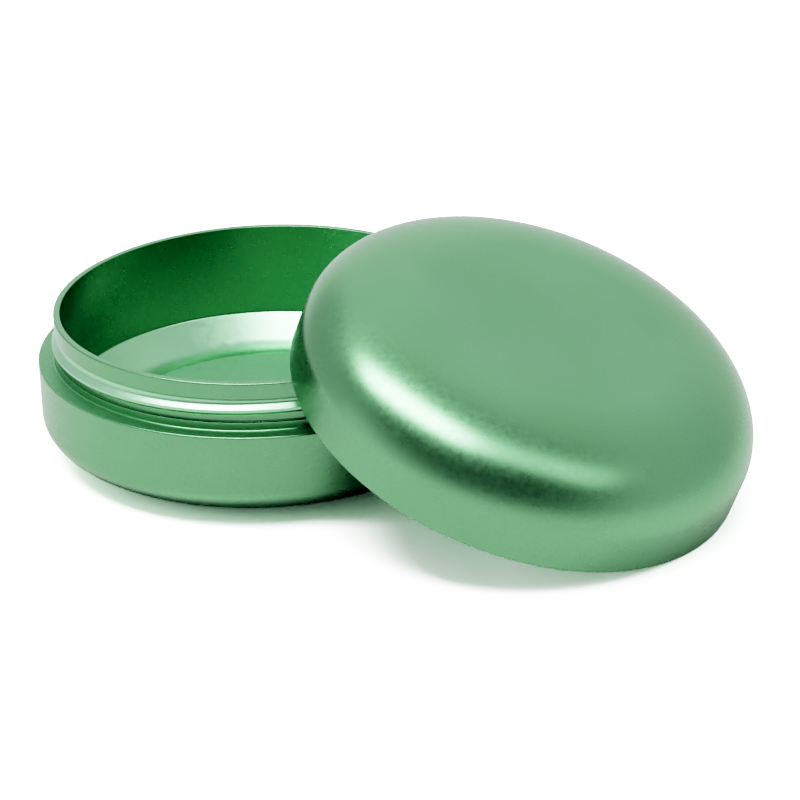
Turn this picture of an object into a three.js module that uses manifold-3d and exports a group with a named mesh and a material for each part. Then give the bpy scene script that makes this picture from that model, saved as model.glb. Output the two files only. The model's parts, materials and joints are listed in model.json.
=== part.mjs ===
// Shaving soap bowl with a screw lid, both turned from solid aluminium and anodised green.
// The bowl stands on its foot at z = 0 with its axis on the Z axis. The lid is off: its open rim
// rests on the table and leans on the lip of the bowl. All sizes are in millimetres.

import * as THREE from 'three';
import { mergeVertices } from 'three/addons/utils/BufferGeometryUtils.js';
import Module from 'manifold-3d';

const wasm = await Module();
wasm.setup();

// ---- driving dimensions -------------------------------------------------------------------

const OUTER_RADIUS = 45;          // bowl wall and lid skirt have the same outside radius
const EDGE_BREAK = 0.3;           // chamfer on every turned edge

const SHOULDER_HEIGHT = 19.85;    // top of the bowl's outer wall, where the lid sits when closed
const BOWL_CORNER_RADIAL = 18;    // rounded bottom edge, measured towards the axis
const BOWL_CORNER_AXIAL = 9;      // rounded bottom edge, measured along the axis

const NECK_HEIGHT = 9.55;         // neck above the shoulder
const NECK_RADIUS = 41.45;        // plain pilot band at the top of the neck
const PILOT_HEIGHT = 3.2;         // height of that band
const RELIEF_RADIUS = 41.1;       // bottom of the thread
const COLLAR_RADIUS = 41.75;      // plain band below the thread
const COLLAR_HEIGHT = 1.6;
const NECK_ROOT_FILLET = 0.4;     // between the neck and the shoulder

const BORE_RADIUS = 40.1;         // inside wall of the bowl
const FLOOR_THICKNESS = 4.5;
const DISH_CREASE = 10.2;         // height at which the sloping edge of the floor meets the wall
const DISH_SLOPE = 40;            // degrees by which that edge slopes up
const DISH_FILLET = 7;            // radius between that slope and the flat of the floor

const LID_HEIGHT = 22.2;
const LID_CORNER_RADIAL = 21.4;   // rounded top edge, measured towards the axis
const LID_CORNER_AXIAL = 14.4;    // rounded top edge, measured along the axis
const LID_TOP_THICKNESS = 2.4;
const LID_BORE_RADIUS = 42.6;     // inside wall of the skirt, clear of the neck thread

const THREAD_LEAD = 3;            // rise of the thread in one full turn
const THREAD_SWEEP = 258;         // degrees of turn that each thread ridge covers
const THREAD_FADE = 24;           // degrees over which a ridge runs out at each end
const NECK_CREST_RADIUS = 42.1;
const NECK_THREAD_START = 123;    // azimuth of the lower end of the neck ridge, in degrees
const NECK_THREAD_BASE = 2.87;    // height of that end above the shoulder
const LID_CREST_RADIUS = 41.65;
const LID_THREAD_START = -81;     // azimuth of the end of the lid ridge next to the open rim
const LID_THREAD_BASE = 2.55;     // height of that end above the open rim

const LEAN_AZIMUTH = -34;         // direction from the bowl to the leaning lid, in degrees
const LEAN_TILT = 22.86;          // angle between the lid and the table, in degrees
const LEAN_REACH = 58.65;         // from the bowl's axis to the centre of the lid's open rim

// ---- fineness of the faceted solids ---------------------------------------------------------

const TURN_SEGMENTS = 60;
const CORNER_STEPS = 7;
const FILLET_STEPS = 2;
const MERGE_DISTANCE = 1e-4;

// ---- helpers --------------------------------------------------------------------------------

const radians = THREE.MathUtils.degToRad;
const point = (radius, height) => new THREE.Vector2(radius, height);

// Points of a quarter ellipse, from angle `from` to angle `to`, both in degrees.
function corner(centreRadius, centreHeight, radial, axial, from, to, steps = CORNER_STEPS) {
  const points = [];
  for (let step = 0; step <= steps; step += 1) {
    const angle = radians(from + (to - from) * step / steps);
    points.push(point(
      centreRadius + radial * Math.cos(angle),
      centreHeight + axial * Math.sin(angle),
    ));
  }
  return points;
}

// A closed solid for boolean work: positions only, shared vertices merged, no empty triangles.
function toManifold(geometry) {
  const bare = geometry.clone();
  bare.deleteAttribute('normal');
  bare.deleteAttribute('uv');
  const merged = mergeVertices(bare, MERGE_DISTANCE);
  const index = merged.index.array;
  const kept = [];
  for (let i = 0; i < index.length; i += 3) {
    const [a, b, c] = [index[i], index[i + 1], index[i + 2]];
    if (a !== b && b !== c && c !== a) {
      kept.push(a, b, c);
    }
  }
  return new wasm.Manifold(new wasm.Mesh({
    numProp: 3,
    vertProperties: new Float32Array(merged.attributes.position.array),
    triVerts: new Uint32Array(kept),
  }));
}

function toGeometry(solid) {
  const mesh = solid.getMesh();
  const geometry = new THREE.BufferGeometry();
  geometry.setAttribute('position', new THREE.BufferAttribute(mesh.vertProperties, 3));
  geometry.setIndex(new THREE.BufferAttribute(mesh.triVerts, 1));
  geometry.computeVertexNormals();
  return geometry;
}

// A solid turned about the Z axis, from a profile of (radius, height) points.
function turned(profile) {
  const geometry = new THREE.LatheGeometry(profile, TURN_SEGMENTS);
  geometry.rotateX(Math.PI / 2);
  return geometry;
}

// A helical ridge: a straight bar with the section of the thread, wrapped around the Z axis.
// `wall` is the radius that the ridge stands on, `crest` the radius that it reaches. Its foot
// stays inside the wall, and at both ends its crest runs down into the wall too. The section is
// the same both ways up, so it is turned over with `side`, which keeps its faces pointing out.
function threadRidge({ wall, crest, start, base }) {
  const side = Math.sign(crest - wall);
  const depth = Math.abs(crest - wall);
  const embed = 0.5;
  const halfCrest = 0.27;
  const flankRun = 0.8;          // axial run of each flank for one unit of depth
  const halfFoot = halfCrest + flankRun * (depth + embed);
  const section = new THREE.Shape([
    point(-embed, -halfFoot),
    point(depth, -halfCrest),
    point(depth, halfCrest),
    point(-embed, halfFoot),
  ]);
  const bar = new THREE.ExtrudeGeometry(section, {
    depth: 1,
    steps: THREAD_SWEEP * TURN_SEGMENTS / 360,
    bevelEnabled: false,
  });
  const positions = bar.attributes.position;
  for (let i = 0; i < positions.count; i += 1) {
    const turn = positions.getZ(i) * THREAD_SWEEP;
    const toEnd = Math.min(turn, THREAD_SWEEP - turn);
    const run = Math.min(1, toEnd / THREAD_FADE);
    const rise = (positions.getX(i) + embed) * (embed / 2 + run * (depth + embed / 2)) / (depth + embed);
    const radius = wall + side * (rise - embed);
    const azimuth = radians(start + turn);
    positions.setXYZ(
      i,
      radius * Math.cos(azimuth),
      radius * Math.sin(azimuth),
      base - side * positions.getY(i) + THREAD_LEAD * turn / 360,
    );
  }
  return toManifold(bar);
}

// ---- bowl -----------------------------------------------------------------------------------

function bowlProfile() {
  const lipHeight = SHOULDER_HEIGHT + NECK_HEIGHT;
  const pilotBottom = lipHeight - PILOT_HEIGHT;
  const collarTop = SHOULDER_HEIGHT + COLLAR_HEIGHT;
  const grooveSlope = 0.2;
  const slope = radians(DISH_SLOPE);
  const slopeEnd = FLOOR_THICKNESS + DISH_FILLET * (1 - Math.cos(slope));
  const slopeRun = (DISH_CREASE - slopeEnd) / Math.tan(slope);
  const dishRadius = BORE_RADIUS - slopeRun - DISH_FILLET * Math.sin(slope);
  return [
    point(0, 0),
    ...corner(
      OUTER_RADIUS - BOWL_CORNER_RADIAL, BOWL_CORNER_AXIAL,
      BOWL_CORNER_RADIAL, BOWL_CORNER_AXIAL, -90, 0,
    ),
    point(OUTER_RADIUS, SHOULDER_HEIGHT - EDGE_BREAK),
    point(OUTER_RADIUS - EDGE_BREAK, SHOULDER_HEIGHT),
    ...corner(
      COLLAR_RADIUS + NECK_ROOT_FILLET, SHOULDER_HEIGHT + NECK_ROOT_FILLET,
      NECK_ROOT_FILLET, NECK_ROOT_FILLET, 270, 180, FILLET_STEPS,
    ),
    point(COLLAR_RADIUS, collarTop - grooveSlope),
    point(RELIEF_RADIUS, collarTop + grooveSlope),
    point(RELIEF_RADIUS, pilotBottom - grooveSlope),
    point(NECK_RADIUS, pilotBottom),
    point(NECK_RADIUS, lipHeight - EDGE_BREAK),
    point(NECK_RADIUS - EDGE_BREAK, lipHeight),
    point(BORE_RADIUS, lipHeight),
    point(BORE_RADIUS, DISH_CREASE),
    ...corner(
      dishRadius, FLOOR_THICKNESS + DISH_FILLET,
      DISH_FILLET, DISH_FILLET, DISH_SLOPE - 90, -90,
    ),
    point(0, FLOOR_THICKNESS),
  ];
}

function bowlGeometry() {
  const ridge = threadRidge({
    wall: RELIEF_RADIUS,
    crest: NECK_CREST_RADIUS,
    start: NECK_THREAD_START,
    base: SHOULDER_HEIGHT + NECK_THREAD_BASE,
  });
  return toGeometry(toManifold(turned(bowlProfile())).add(ridge));
}

// ---- lid, in its own frame: open rim at z = 0, top at z = LID_HEIGHT ---------------------------

function lidProfile() {
  const cavityHeight = LID_HEIGHT - LID_TOP_THICKNESS;
  const wallThickness = OUTER_RADIUS - LID_BORE_RADIUS;
  const innerRadial = LID_CORNER_RADIAL - wallThickness;
  const innerAxial = LID_CORNER_AXIAL - LID_TOP_THICKNESS;
  return [
    point(0, cavityHeight),
    ...corner(
      LID_BORE_RADIUS - innerRadial, cavityHeight - innerAxial,
      innerRadial, innerAxial, 90, 0,
    ),
    point(LID_BORE_RADIUS, EDGE_BREAK),
    point(LID_BORE_RADIUS + EDGE_BREAK, 0),
    point(OUTER_RADIUS - EDGE_BREAK, 0),
    point(OUTER_RADIUS, EDGE_BREAK),
    ...corner(
      OUTER_RADIUS - LID_CORNER_RADIAL, LID_HEIGHT - LID_CORNER_AXIAL,
      LID_CORNER_RADIAL, LID_CORNER_AXIAL, 0, 90,
    ),
    point(0, LID_HEIGHT),
  ];
}

function lidGeometry() {
  const ridge = threadRidge({
    wall: LID_BORE_RADIUS,
    crest: LID_CREST_RADIUS,
    start: LID_THREAD_START,
    base: LID_THREAD_BASE,
  });
  return toGeometry(toManifold(turned(lidProfile())).add(ridge));
}

// ---- assembly -------------------------------------------------------------------------------

function anodised(name, color) {
  return new THREE.MeshStandardMaterial({ name, color, roughness: 0.32, metalness: 1 });
}

function namedMesh(name, geometry, material) {
  const mesh = new THREE.Mesh(geometry, material);
  mesh.name = name;
  return mesh;
}

const bowl = namedMesh('bowl', bowlGeometry(), anodised('bowl_anodised_green', 0x7fae84));
const lid = namedMesh('lid', lidGeometry(), anodised('lid_anodised_green', 0x7bab82));

// The lid tips away from the bowl about a level line, until its rim meets the table.
const lean = new THREE.Group();
const azimuth = radians(LEAN_AZIMUTH);
const tilt = radians(LEAN_TILT);
lean.setRotationFromAxisAngle(
  new THREE.Vector3(-Math.sin(azimuth), Math.cos(azimuth), 0),
  tilt,
);
lean.position.set(
  LEAN_REACH * Math.cos(azimuth),
  LEAN_REACH * Math.sin(azimuth),
  (OUTER_RADIUS - EDGE_BREAK) * Math.sin(tilt),
);
lean.add(lid);

const group = new THREE.Group();
group.add(bowl, lean);

export default group;
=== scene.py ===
"""Shaving soap bowl with a screw lid: turned aluminium, bead-blasted and anodised green.

The bowl stands open, and the lid leans on its lip. Both pieces are rebuilt here as fine meshes
with small edge radii and true helical threads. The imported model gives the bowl's outside size and
the place of both.
"""

import json
import math

import bpy
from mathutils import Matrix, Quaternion, Vector


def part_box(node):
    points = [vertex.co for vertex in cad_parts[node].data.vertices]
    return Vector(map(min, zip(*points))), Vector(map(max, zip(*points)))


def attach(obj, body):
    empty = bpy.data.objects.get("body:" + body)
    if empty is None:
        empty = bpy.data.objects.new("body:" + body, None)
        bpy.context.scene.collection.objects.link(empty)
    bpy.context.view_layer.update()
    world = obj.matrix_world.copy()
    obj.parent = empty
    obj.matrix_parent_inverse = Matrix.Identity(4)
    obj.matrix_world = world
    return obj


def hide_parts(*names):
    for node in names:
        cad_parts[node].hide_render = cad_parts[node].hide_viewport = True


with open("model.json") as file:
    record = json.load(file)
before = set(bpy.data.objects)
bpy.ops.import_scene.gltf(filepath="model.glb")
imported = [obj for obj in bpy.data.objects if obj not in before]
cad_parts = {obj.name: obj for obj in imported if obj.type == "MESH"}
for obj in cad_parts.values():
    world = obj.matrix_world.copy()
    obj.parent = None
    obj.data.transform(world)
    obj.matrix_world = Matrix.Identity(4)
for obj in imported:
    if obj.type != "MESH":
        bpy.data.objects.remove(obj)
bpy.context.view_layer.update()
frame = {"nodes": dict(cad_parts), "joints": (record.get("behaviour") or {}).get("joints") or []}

# ---- sizes ------------------------------------------------------------------------------------
# Profiles are in millimetres, as the lathe would be set.

MM = 0.001
Z_UP = Vector((0, 0, 1))

BOWL_LOW, BOWL_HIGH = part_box("bowl")
OUTER_RADIUS = (BOWL_HIGH.x - BOWL_LOW.x) / 2 / MM
LIP_HEIGHT = (BOWL_HIGH.z - BOWL_LOW.z) / MM
EDGE = 0.3                 # radius of the small rounding on every turned edge

NECK_HEIGHT = 9.55         # neck above the shoulder
SHOULDER = LIP_HEIGHT - NECK_HEIGHT
FOOT_RADIUS = 27           # flat underside
FOOT_CURVE = 9             # height of the rounded bottom edge
NECK_RADIUS = 41.45        # plain pilot band at the top of the neck
PILOT_HEIGHT = 3.2
RELIEF_RADIUS = 41.1       # bottom of the thread
RELIEF_SLOPE = 0.2         # height of the slope under the pilot band
COLLAR_RADIUS = 41.75      # plain band below the thread
COLLAR_HEIGHT = 1.6
COLLAR_ROUND = 0.06        # radius of the very small roundings on the neck
ROOT_FILLET = 0.3          # between the collar and the shoulder
LIP_ROUND = 0.2            # rounding of the lip's inside edge
BORE_RADIUS = 40.1
FLOOR_HEIGHT = 4.5
DISH_SLOPE = 40            # degrees by which the edge of the inside floor slopes up
DISH_FILLET = 7            # radius between that slope and the flat of the floor
DISH_CREASE = 10.2         # height at which the slope meets the inside wall
CREASE_ROUND = 0.6         # radius between that slope and the inside wall

LID_HEIGHT = 22.2
LID_CORNER_RADIAL = 21.4
LID_CORNER_AXIAL = 14.4
LID_TOP = 2.4              # thickness of the lid's flat top
LID_BORE = 42.6
LID_RIM = 0.4              # radius of the small rounding on the open rim
LID_RIM_TOP = 0.6          # where the plain strip inside the open rim ends

THREAD_LEAD = 3
THREAD_SWEEP = 258         # degrees of turn that each ridge covers
THREAD_FADE = 24           # degrees over which a ridge runs out at each end
HALF_CREST = 0.27
FLANK_RUN = 0.8            # axial run of a flank for one unit of depth
CREST_ROUND = 0.12
ROOT_ROUND = 0.5           # hollow above the ridge
ROOT_RISE = 0.8            # height of the sloping groove above it
ROOT_DEPTH = 0.28
ROW_GAP = 0.004            # least distance between neighbouring rows of the mesh
NECK_CREST = 42.1
NECK_THREAD_START = 123    # azimuth of the ridge's lower end
NECK_THREAD_BASE = 2.87    # height of that end above the shoulder
LID_CREST = 41.65
LID_THREAD_START = -81     # azimuth of the end of the lid's ridge next to the open rim
LID_THREAD_BASE = 2.55     # height of that end above the open rim

# ---- finishes: roughness, and painted light, the share from 0 to 1 by which the colour is painted brighter ---

SATIN = (0.3, 0)           # bead-blasted walls
SHOULDER_FINISH = (0.5, 0)  # rougher, as it lies square to the blast
SLOPE_FINISH_AND_PAINTED_LIGHT = (0.35, 1)   # sloping edge of the inside floor; painted light: its colour painted brighter, standing in for light inside the bowl
FLAT_FINISH_AND_PAINTED_LIGHT = (0.7, 0.6)   # flat of the inside floor; painted light: its colour painted somewhat brighter, standing in for light inside the bowl

DARK_GREEN = (0.19, 0.39, 0.215, 1)
LIGHT_GREEN = (0.21, 0.42, 0.24, 1)
PAINTED_LIGHT_GAIN = (2.0, 1.72, 2.0, 1)  # painted light: by which the colour is painted brighter where that share is 1
CLOUD_SCALE = 45           # noise cells per metre that cloud the colour
GRAIN_SCALE = 900          # noise cells per metre that vary the roughness
GRAIN_SPREAD = 0.1         # share by which they vary it

# ---- fineness of the meshes ---------------------------------------------------------------------

SEGMENTS = 288             # facets round each turned piece
ARC_STEP = 15              # degrees between the points of a small rounding
SUPPORT = 0.07             # distance of the support loops that keep flats flat beside a rounding
FLAT_MARGIN = 1            # distance of such a loop beside a large curve
STUB = 0.2                 # length beyond a rounding of a profile's end, which is dropped
FOOT_STEPS = 40            # steps of the bowl's rounded bottom edge
DISH_STEPS = 20            # steps of the fillet round the flat of the floor
CEILING_STEPS = 40         # steps of the lid's rounded edge, inside
DOME_STEPS = 48            # steps of the lid's rounded edge, outside
ON_AXIS = 1e-6             # below this radius a row is a single point
LEVEL = 0.01               # heights closer than this are the same
RIM_DEPTH = 0.05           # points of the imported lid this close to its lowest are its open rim

# ---- camera and light ---------------------------------------------------------------------------

CAMERA_PLACE = (26.7, -661.2, 301.6)
CAMERA_PITCH = 24.05       # degrees below level
CAMERA_ROLL = -2.03
LENS = 162
SENSOR = 36
LIGHT_DISTANCE = 3         # metres
FLOOR_HALF = 4             # metres, half the floor's width
ROOM_LIGHT = 0.99
BACKDROP = 4.3             # brightness of the room behind the floor, to the camera alone


# ---- profiles ---------------------------------------------------------------------------------

def rounded(points):
    """A profile of (radius, height) points from (radius, height, rounding) corners."""
    made = []
    last = len(points) - 1
    for i, (radius, height, rounding) in enumerate(points):
        here = Vector((radius, height))
        if i in (0, last) or not rounding:
            made.append(here)
            continue
        before = (Vector(points[i - 1][:2]) - here).normalized()
        after = (Vector(points[i + 1][:2]) - here).normalized()
        turn = math.pi - before.angle(after)
        reach = rounding * math.tan(turn / 2)
        centre = here + (before + after).normalized() * (rounding / math.cos(turn / 2))
        start = here + before * reach - centre
        side = 1 if before.x * after.y - before.y * after.x < 0 else -1
        steps = max(2, round(math.degrees(turn) / ARC_STEP))
        made.append(centre + start + before * SUPPORT)
        for step in range(steps + 1):
            angle = side * turn * step / steps
            made.append(centre + Vector((
                start.x * math.cos(angle) - start.y * math.sin(angle),
                start.x * math.sin(angle) + start.y * math.cos(angle),
            )))
        made.append(here + after * (reach + SUPPORT))
    return made


def curve(centre, radial, axial, start, end, steps):
    """Corners without rounding along an ellipse from angle start to angle end."""
    made = []
    for step in range(steps + 1):
        angle = math.radians(start + (end - start) * step / steps)
        made.append((
            centre[0] + radial * math.cos(angle),
            centre[1] + axial * math.sin(angle),
            0,
        ))
    return made


def plain(profile):
    """Rows of a turned surface that stay level all the way round."""
    return [(p.x, p.y, 0, 0) for p in profile]


def thread(wall, crest, upwards):
    """Rows of one thread ridge: they climb with the helix and rise from the wall to the crest."""
    depth = abs(crest - wall)
    half_foot = HALF_CREST + FLANK_RUN * depth
    section = rounded([
        (0, -half_foot - ROOT_RISE, 0),
        (0, -half_foot, CREST_ROUND),
        (depth, -HALF_CREST, CREST_ROUND),
        (depth, HALF_CREST, CREST_ROUND),
        (0, half_foot, ROOT_ROUND),
        (-ROOT_DEPTH, half_foot + ROOT_RISE, 0),
    ])[1:]
    outwards = 1 if crest > wall else -1
    rows = [(wall, p.y, outwards * p.x, 1) for p in section]
    return rows if upwards else rows[::-1]


def smooth(share):
    share = min(1, max(0, share))
    return share * share * (3 - 2 * share)


def turned(name, rows, finishes_and_painted_light, thread_start, thread_base):
    """A closed mesh turned about Z from rows of (radius, height, rise, climbs).

    Each row has its own finish, (roughness, painted light), kept on the mesh for the material; the
    second is how much brighter its colour is painted, standing in for light.

    A thread row's height is counted from the ridge's centre, which climbs from thread_base over
    the sweep and comes back down in the plain gap between the ridge's ends.
    """
    columns = []
    for segment in range(SEGMENTS):
        turn = 360 * segment / SEGMENTS
        climb = thread_base + THREAD_LEAD * turn / 360
        if turn > THREAD_SWEEP:
            gap = (turn - THREAD_SWEEP) / (360 - THREAD_SWEEP)
            top = thread_base + THREAD_LEAD * THREAD_SWEEP / 360
            climb = top + (thread_base - top) * smooth(gap)
        climb = max(thread_base + THREAD_LEAD * THREAD_FADE / 360, climb)
        grown = smooth(min(turn, THREAD_SWEEP - turn) / THREAD_FADE)
        columns.append((math.radians(thread_start + turn), climb, grown))

    # Rows that climb keep their order and a small gap, so that no two of them cross.
    moving = [i for i, row in enumerate(rows) if row[3]]
    first, last = moving[0], moving[-1]
    way = 1 if rows[last + 1][1] > rows[first - 1][1] else -1
    heights = []
    for _, climb, grown in columns:
        column = [climb + height * grown if climbs else height for _, height, _, climbs in rows]
        for i in range(last, first - 1, -1):
            column[i] = way * min(way * column[i], way * column[i + 1] - ROW_GAP)
        for i in range(first, last + 1):
            column[i] = way * max(way * column[i], way * column[i - 1] + ROW_GAP)
        heights.append(column)

    verts = []
    rings = []
    finish = []
    for i, ((radius, height, rise, _), own) in enumerate(zip(rows, finishes_and_painted_light)):
        if radius < ON_AXIS:
            rings.append([len(verts)])
            verts.append((0, 0, height * MM))
            finish.append(own)
            continue
        rings.append(list(range(len(verts), len(verts) + SEGMENTS)))
        finish += [own] * SEGMENTS
        for (azimuth, _, grown), column in zip(columns, heights):
            r = (radius + rise * grown) * MM
            verts.append((r * math.cos(azimuth), r * math.sin(azimuth), column[i] * MM))

    faces = []
    for low, high in zip(rings, rings[1:]):
        for i in range(SEGMENTS):
            j = (i + 1) % SEGMENTS
            if len(low) == 1:
                faces.append((low[0], high[j], high[i]))
            elif len(high) == 1:
                faces.append((low[i], low[j], high[0]))
            else:
                faces.append((low[i], low[j], high[j], high[i]))
    mesh = bpy.data.meshes.new(name)
    mesh.from_pydata(verts, [], faces)
    mesh.validate()
    mesh.shade_smooth()
    # The second value is painted light: how much brighter the colour is painted.
    for kind, values in zip(("roughness", "painted_light"), zip(*finish)):
        mesh.attributes.new(kind, "FLOAT", "POINT").data.foreach_set("value", values)
    piece = bpy.data.objects.new(name, mesh)
    bpy.context.scene.collection.objects.link(piece)
    return piece


# ---- the two pieces ---------------------------------------------------------------------------

def make_bowl():
    relief_low = SHOULDER + COLLAR_HEIGHT
    relief_high = LIP_HEIGHT - PILOT_HEIGHT
    slope = math.radians(DISH_SLOPE)
    slope_end = FLOOR_HEIGHT + DISH_FILLET * (1 - math.cos(slope))
    slope_run = (DISH_CREASE - slope_end) / math.tan(slope)
    dish_radius = BORE_RADIUS - slope_run - DISH_FILLET * math.sin(slope)
    below = rounded([
        (0, 0, 0),
        (FOOT_RADIUS - FLAT_MARGIN, 0, 0),
        *curve(
            (FOOT_RADIUS, FOOT_CURVE),
            OUTER_RADIUS - FOOT_RADIUS, FOOT_CURVE, -90, 0, FOOT_STEPS,
        ),
        (OUTER_RADIUS, FOOT_CURVE + FLAT_MARGIN, 0),
        (OUTER_RADIUS, SHOULDER, EDGE),
        (COLLAR_RADIUS, SHOULDER, ROOT_FILLET),
        (COLLAR_RADIUS, relief_low, COLLAR_ROUND),
        (RELIEF_RADIUS, relief_low, COLLAR_ROUND),
        (RELIEF_RADIUS, relief_low + STUB, 0),
    ])[:-1]
    above = rounded([
        (RELIEF_RADIUS, relief_high - RELIEF_SLOPE - STUB, 0),
        (RELIEF_RADIUS, relief_high - RELIEF_SLOPE, COLLAR_ROUND),
        (NECK_RADIUS, relief_high, COLLAR_ROUND),
        (NECK_RADIUS, LIP_HEIGHT, EDGE),
        (BORE_RADIUS, LIP_HEIGHT, LIP_ROUND),
        (BORE_RADIUS, DISH_CREASE, CREASE_ROUND),
        *curve(
            (dish_radius, FLOOR_HEIGHT + DISH_FILLET),
            DISH_FILLET, DISH_FILLET, DISH_SLOPE - 90, -90, DISH_STEPS,
        ),
        (dish_radius - FLAT_MARGIN, FLOOR_HEIGHT, 0),
        (0, FLOOR_HEIGHT, 0),
    ])[1:]
    rows = plain(below) + thread(RELIEF_RADIUS, NECK_CREST, True) + plain(above)
    # Painted light: the finishes of the inside floor paint its colour brighter, standing in for
    # light inside the bowl.
    finishes_and_painted_light = []
    for i, (radius, height, *_) in enumerate(rows):
        inside = i > len(below)
        if inside and radius < dish_radius:
            finishes_and_painted_light.append(FLAT_FINISH_AND_PAINTED_LIGHT)
        elif inside and height < DISH_CREASE:
            finishes_and_painted_light.append(SLOPE_FINISH_AND_PAINTED_LIGHT)
        elif abs(height - SHOULDER) < LEVEL and radius > COLLAR_RADIUS + ROOT_FILLET:
            finishes_and_painted_light.append(SHOULDER_FINISH)
        else:
            finishes_and_painted_light.append(SATIN)
    return turned(
        "soap_bowl", rows, finishes_and_painted_light, NECK_THREAD_START, SHOULDER + NECK_THREAD_BASE,
    )


def make_lid():
    wall = OUTER_RADIUS - LID_BORE
    ceiling = LID_HEIGHT - LID_TOP
    inner_radial = LID_CORNER_RADIAL - wall
    inner_axial = LID_CORNER_AXIAL - LID_TOP
    inside = rounded([
        (0, ceiling, 0),
        (LID_BORE - inner_radial - FLAT_MARGIN, ceiling, 0),
        *curve(
            (LID_BORE - inner_radial, ceiling - inner_axial),
            inner_radial, inner_axial, 90, 0, CEILING_STEPS,
        ),
    ])
    outside = rounded([
        (LID_BORE, LID_RIM_TOP, 0),
        (LID_BORE, 0, LID_RIM),
        (OUTER_RADIUS, 0, LID_RIM),
        (OUTER_RADIUS, LID_HEIGHT - LID_CORNER_AXIAL - FLAT_MARGIN, 0),
        *curve(
            (OUTER_RADIUS - LID_CORNER_RADIAL, LID_HEIGHT - LID_CORNER_AXIAL),
            LID_CORNER_RADIAL, LID_CORNER_AXIAL, 0, 90, DOME_STEPS,
        ),
        (OUTER_RADIUS - LID_CORNER_RADIAL - FLAT_MARGIN, LID_HEIGHT, 0),
        (0, LID_HEIGHT, 0),
    ])
    rows = plain(inside) + thread(LID_BORE, LID_CREST, False) + plain(outside)
    lid = turned(
        "screw_lid", rows, [SATIN] * len(rows), LID_THREAD_START, LID_THREAD_BASE,
    )
    axis = Vector(frame["joints"][0]["axis"]).normalized()
    place = Z_UP.rotation_difference(axis).to_matrix().to_4x4()
    place.translation = open_rim_centre("lid", axis)
    lid.data.transform(place)
    return lid


def open_rim_centre(node, axis):
    """Centre of the ring of points that lies lowest along the axis of a turned CAD node."""
    points = {tuple(round(c, 6) for c in v.co) for v in frame["nodes"][node].data.vertices}
    points = [Vector(p) for p in points]
    lowest = min(p.dot(axis) for p in points)
    ring = [p for p in points if p.dot(axis) < lowest + RIM_DEPTH * MM]
    return sum(ring, Vector()) / len(ring)


# ---- material ---------------------------------------------------------------------------------

def anodised(name, seed):
    """Bead-blasted aluminium under a green anodic layer: fine grain, slight cloudiness."""
    material = bpy.data.materials.new(name)
    material.use_nodes = True
    nodes = material.node_tree.nodes
    links = material.node_tree.links
    bsdf = nodes["Principled BSDF"]
    bsdf.inputs["Metallic"].default_value = 1
    bsdf.inputs["Coat Weight"].default_value = 0.22
    bsdf.inputs["Coat Roughness"].default_value = 0.22
    bsdf.inputs["Coat IOR"].default_value = 1.55

    place = nodes.new("ShaderNodeTexCoord")

    def noise(scale, detail):
        made = nodes.new("ShaderNodeTexNoise")
        made.noise_dimensions = "4D"
        made.inputs["W"].default_value = seed
        made.inputs["Scale"].default_value = scale
        made.inputs["Detail"].default_value = detail
        links.new(place.outputs["Object"], made.inputs["Vector"])
        return made.outputs["Fac"]

    def ranged(value, low, high):
        made = nodes.new("ShaderNodeMapRange")
        made.inputs["From Min"].default_value = 0.3
        made.inputs["From Max"].default_value = 0.7
        made.inputs["To Min"].default_value = low
        made.inputs["To Max"].default_value = high
        links.new(value, made.inputs["Value"])
        return made.outputs["Result"]

    tone = nodes.new("ShaderNodeMix")
    tone.data_type = "RGBA"
    tone.inputs["A"].default_value = DARK_GREEN
    tone.inputs["B"].default_value = LIGHT_GREEN
    links.new(ranged(noise(CLOUD_SCALE, 3), 0, 1), tone.inputs["Factor"])

    # Painted light: the colour is painted brighter where the mesh asks for it, on the inside floor
    # of the bowl, standing in for light there.
    painted_light = nodes.new("ShaderNodeAttribute")
    painted_light.attribute_name = "painted_light"
    painted_light_mix = nodes.new("ShaderNodeMix")
    painted_light_mix.data_type = "RGBA"
    painted_light_mix.blend_type = "MULTIPLY"
    painted_light_mix.clamp_result = False
    painted_light_mix.inputs["B"].default_value = PAINTED_LIGHT_GAIN
    links.new(painted_light.outputs["Fac"], painted_light_mix.inputs["Factor"])
    links.new(tone.outputs["Result"], painted_light_mix.inputs["A"])
    links.new(painted_light_mix.outputs["Result"], bsdf.inputs["Base Color"])

    finish = nodes.new("ShaderNodeAttribute")
    finish.attribute_name = "roughness"
    uneven = nodes.new("ShaderNodeMath")
    uneven.operation = "MULTIPLY"
    links.new(finish.outputs["Fac"], uneven.inputs[0])
    grain = ranged(noise(GRAIN_SCALE, 1), 1 - GRAIN_SPREAD, 1 + GRAIN_SPREAD)
    links.new(grain, uneven.inputs[1])
    links.new(uneven.outputs["Value"], bsdf.inputs["Roughness"])
    return material


# ---- studio -----------------------------------------------------------------------------------

def direction(azimuth, elevation):
    a = math.radians(azimuth)
    e = math.radians(elevation)
    return Vector((math.cos(e) * math.cos(a), math.cos(e) * math.sin(a), math.sin(e)))


def softbox(name, azimuth, elevation, width, height, roll, radiance):
    """A rectangular light that looks at the object; its width and height are angles too."""
    lamp = bpy.data.lights.new(name, "AREA")
    lamp.shape = "RECTANGLE"
    lamp.size = 2 * LIGHT_DISTANCE * math.tan(math.radians(width / 2))
    lamp.size_y = 2 * LIGHT_DISTANCE * math.tan(math.radians(height / 2))
    lamp.energy = radiance * math.pi * lamp.size * lamp.size_y
    holder = bpy.data.objects.new(name, lamp)
    towards = direction(azimuth, elevation)
    holder.location = towards * LIGHT_DISTANCE
    holder.rotation_mode = "QUATERNION"
    turn = Quaternion(Z_UP, math.radians(roll))
    holder.rotation_quaternion = towards.to_track_quat("Z", "Y") @ turn
    bpy.context.scene.collection.objects.link(holder)


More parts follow.
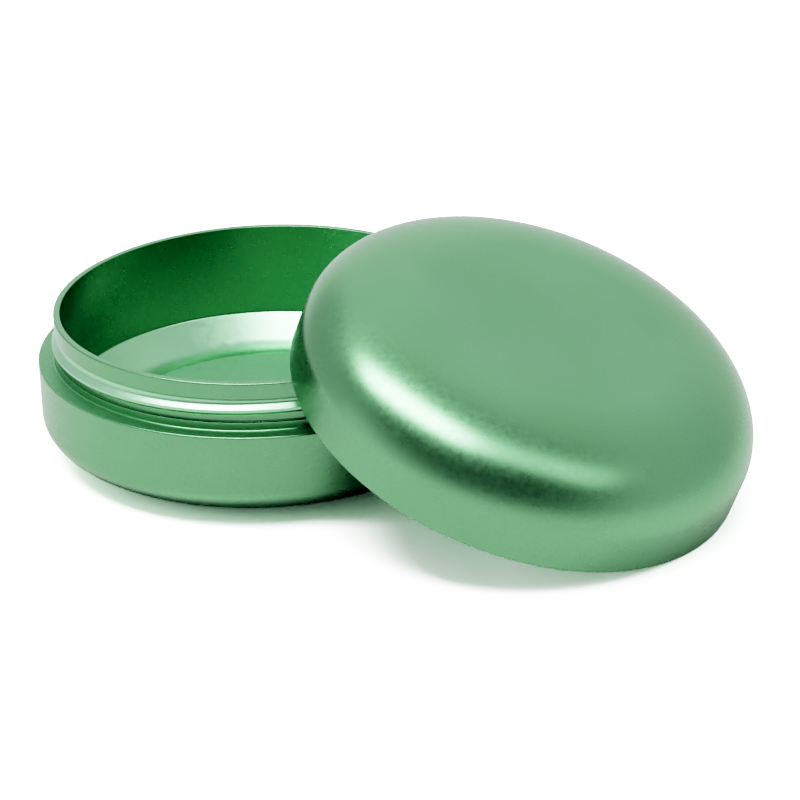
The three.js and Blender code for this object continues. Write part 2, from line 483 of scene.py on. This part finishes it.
def studio_world():
    """A bright room that is dark round the camera and dimmer on two more sides."""
    world = bpy.data.worlds.new("studio")
    world.use_nodes = True
    bpy.context.scene.world = world
    nodes = world.node_tree.nodes
    links = world.node_tree.links
    background = nodes["Background"]
    background.inputs["Color"].default_value = (1, 1, 1, 1)
    place = nodes.new("ShaderNodeTexCoord")

    def lobe(azimuth, elevation, inner, outer):
        """1 within inner degrees of the direction, falling to 0 at outer degrees."""
        dot = nodes.new("ShaderNodeVectorMath")
        dot.operation = "DOT_PRODUCT"
        dot.inputs[1].default_value = direction(azimuth, elevation)
        links.new(place.outputs["Generated"], dot.inputs[0])
        ramp = nodes.new("ShaderNodeMapRange")
        ramp.interpolation_type = "SMOOTHSTEP"
        ramp.inputs["From Min"].default_value = math.cos(math.radians(outer))
        ramp.inputs["From Max"].default_value = math.cos(math.radians(inner))
        links.new(dot.outputs["Value"], ramp.inputs["Value"])
        return ramp.outputs["Result"]

    def shade(value, amount, under):
        """The light under it, less amount where value is 1."""
        part = nodes.new("ShaderNodeMath")
        part.operation = "MULTIPLY_ADD"
        part.inputs[1].default_value = -amount
        links.new(value, part.inputs[0])
        if isinstance(under, float):
            part.inputs[2].default_value = under
        else:
            links.new(under, part.inputs[2])
        return part.outputs["Value"]

    light = shade(lobe(azimuth=-100, elevation=43, inner=2, outer=77), 0.83, ROOM_LIGHT)
    light = shade(lobe(azimuth=150, elevation=22, inner=24, outer=38), 0.35, light)
    light = shade(lobe(azimuth=-7, elevation=-11, inner=30, outer=98), 0.25, light)
    ray = nodes.new("ShaderNodeLightPath")
    seen = nodes.new("ShaderNodeMix")
    seen.inputs["B"].default_value = BACKDROP
    links.new(ray.outputs["Is Camera Ray"], seen.inputs["Factor"])
    links.new(light, seen.inputs["A"])
    links.new(seen.outputs["Result"], background.inputs["Strength"])


def make_floor():
    """A white floor with a faint sheen, brighter to the camera than in the object's reflections."""
    mesh = bpy.data.meshes.new("floor")
    corners = [(-1, -1), (1, -1), (1, 1), (-1, 1)]
    mesh.from_pydata(
        [(x * FLOOR_HALF, y * FLOOR_HALF, 0) for x, y in corners], [], [(0, 1, 2, 3)],
    )
    floor = bpy.data.objects.new("floor", mesh)
    bpy.context.scene.collection.objects.link(floor)
    floor.location.z = BOWL_LOW.z
    material = bpy.data.materials.new("floor_white")
    material.use_nodes = True
    nodes = material.node_tree.nodes
    links = material.node_tree.links
    nodes.remove(nodes["Principled BSDF"])
    ray = nodes.new("ShaderNodeLightPath")

    def seen(tint, bright):
        """A tint for the object's reflections, and a grey of that brightness for the camera."""
        made = nodes.new("ShaderNodeMix")
        made.data_type = "RGBA"
        made.clamp_result = False
        made.inputs["A"].default_value = (*tint, 1)
        made.inputs["B"].default_value = (bright, bright, bright, 1)
        links.new(ray.outputs["Is Camera Ray"], made.inputs["Factor"])
        return made.outputs["Result"]

    matt = nodes.new("ShaderNodeBsdfDiffuse")
    links.new(seen(tint=(0.85, 0.82, 0.82), bright=4.4), matt.inputs["Color"])
    sheen = nodes.new("ShaderNodeBsdfGlossy")
    sheen.inputs["Roughness"].default_value = 0.3
    links.new(seen(tint=(1, 1, 1), bright=5), sheen.inputs["Color"])
    both = nodes.new("ShaderNodeMixShader")
    links.new(nodes.new("ShaderNodeFresnel").outputs["Fac"], both.inputs["Fac"])
    links.new(matt.outputs["BSDF"], both.inputs[1])
    links.new(sheen.outputs["BSDF"], both.inputs[2])
    links.new(both.outputs["Shader"], nodes["Material Output"].inputs["Surface"])
    mesh.materials.append(material)


def tone_curve():
    """A photographic contrast curve: deep darks, and highlights that roll off to white."""
    view = bpy.context.scene.view_settings
    view.view_transform = "Standard"
    view.use_curve_mapping = True
    mapping = view.curve_mapping
    white = 4
    black = Vector((0.03, 0.03, 0.02))
    contrast = 1.5
    middle = 0.49
    octaves = 7
    mapping.black_level = black
    mapping.white_level = (white, white, white)
    combined = mapping.curves[3]

    def response(x):
        return x ** contrast / (x ** contrast + middle ** contrast)

    span = white - max(black)
    for octave in range(octaves, 0, -1):
        x = span / 2 ** octave
        combined.points.new(x / span, response(x) / response(span))
    mapping.update()


def make_camera():
    """A long lens that looks down at the object from in front."""
    camera = bpy.data.cameras.new("camera")
    camera.sensor_width = SENSOR
    camera.lens = LENS
    camera.clip_start = 0.01
    holder = bpy.data.objects.new("camera", camera)
    bpy.context.scene.collection.objects.link(holder)
    pitch = math.radians(CAMERA_PITCH)
    roll = math.radians(CAMERA_ROLL)
    forward = Vector((0, math.cos(pitch), -math.sin(pitch)))
    level = Vector((1, 0, 0))
    upright = level.cross(forward)
    right = math.cos(roll) * level + math.sin(roll) * upright
    up = -math.sin(roll) * level + math.cos(roll) * upright
    matrix = holder.matrix_world.copy()
    for row in range(3):
        matrix[row][0] = right[row]
        matrix[row][1] = up[row]
        matrix[row][2] = -forward[row]
    matrix.translation = Vector(CAMERA_PLACE) * MM
    holder.matrix_world = matrix
    bpy.context.scene.camera = holder


# ---- assembly ---------------------------------------------------------------------------------

make_camera()
studio_world()
make_floor()
softbox(
    "overhead_softbox", azimuth=-136, elevation=70, width=44, height=15.5, roll=5, radiance=12,
)
softbox("side_panel", azimuth=-45, elevation=51, width=47, height=19, roll=-46, radiance=1.8)
tone_curve()

bowl = make_bowl()
bowl.data.materials.append(anodised("bowl_anodised", 1))
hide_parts("bowl")
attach(bowl, "bowl")

lid = make_lid()
lid.data.materials.append(anodised("lid_anodised", 2))
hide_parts("lid")
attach(lid, "lid")
